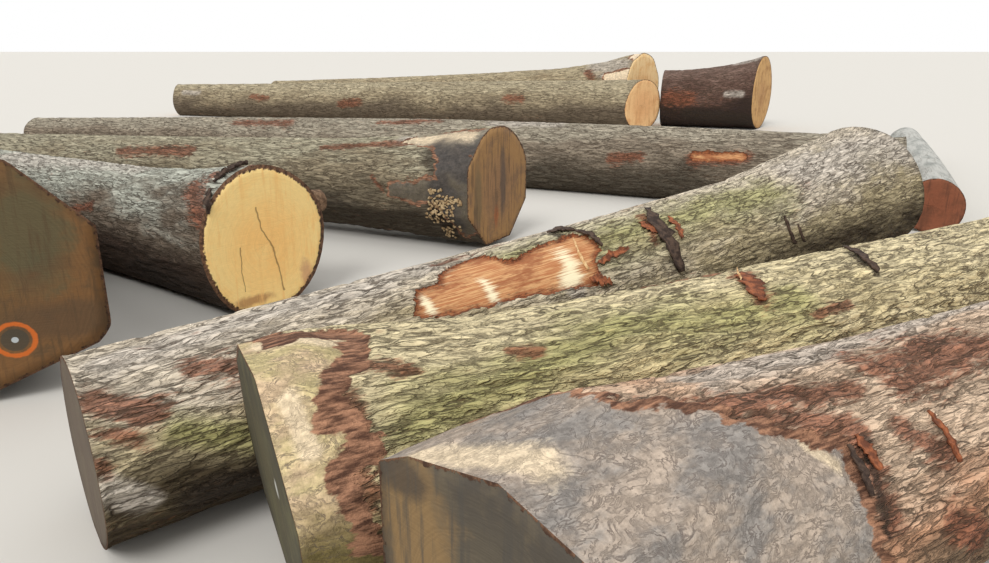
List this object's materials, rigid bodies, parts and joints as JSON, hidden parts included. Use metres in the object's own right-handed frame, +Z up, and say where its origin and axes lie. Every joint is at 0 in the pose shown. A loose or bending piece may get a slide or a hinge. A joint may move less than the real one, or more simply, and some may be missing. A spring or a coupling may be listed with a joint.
{
  "type": "heap of hardwood logs",
  "caption": "Heap of long felled oak logs with bark, sawn and hewn butt ends, lying side by side on level ground.",
  "frame": {"origin": "middle of the heap's plan, on the ground that the logs lie on", "axes": "+Z up, +Y from the front logs back to the far row, +X to the right"},
  "size_m": [12.921, 15.9238, 1.2461],
  "materials": {
    "hewn_butt_log": "rough bark with sawn end grain",
    "mossy_log": "rough bark with sawn end grain",
    "torn_bark_log": "rough bark with sawn end grain",
    "ringed_butt_log": "rough bark with sawn end grain",
    "fresh_sawn_log": "rough bark with sawn end grain",
    "octagon_end_log": "rough bark with sawn end grain",
    "long_grey_log": "rough bark with sawn end grain",
    "weathered_log": "rough bark with sawn end grain",
    "far_slim_log": "rough bark with sawn end grain",
    "far_flared_log": "rough bark with sawn end grain",
    "far_dark_log": "rough bark with sawn end grain"
  },
  "bodies": {
    "root": {"hewn_butt_log": "hewn_butt_log", "mossy_log": "mossy_log", "torn_bark_log": "torn_bark_log", "ringed_butt_log": "ringed_butt_log", "fresh_sawn_log": "fresh_sawn_log", "octagon_end_log": "octagon_end_log", "long_grey_log": "long_grey_log", "weathered_log": "weathered_log", "far_slim_log": "far_slim_log", "far_flared_log": "far_flared_log", "far_dark_log": "far_dark_log"}
  },
  "joints": []
}
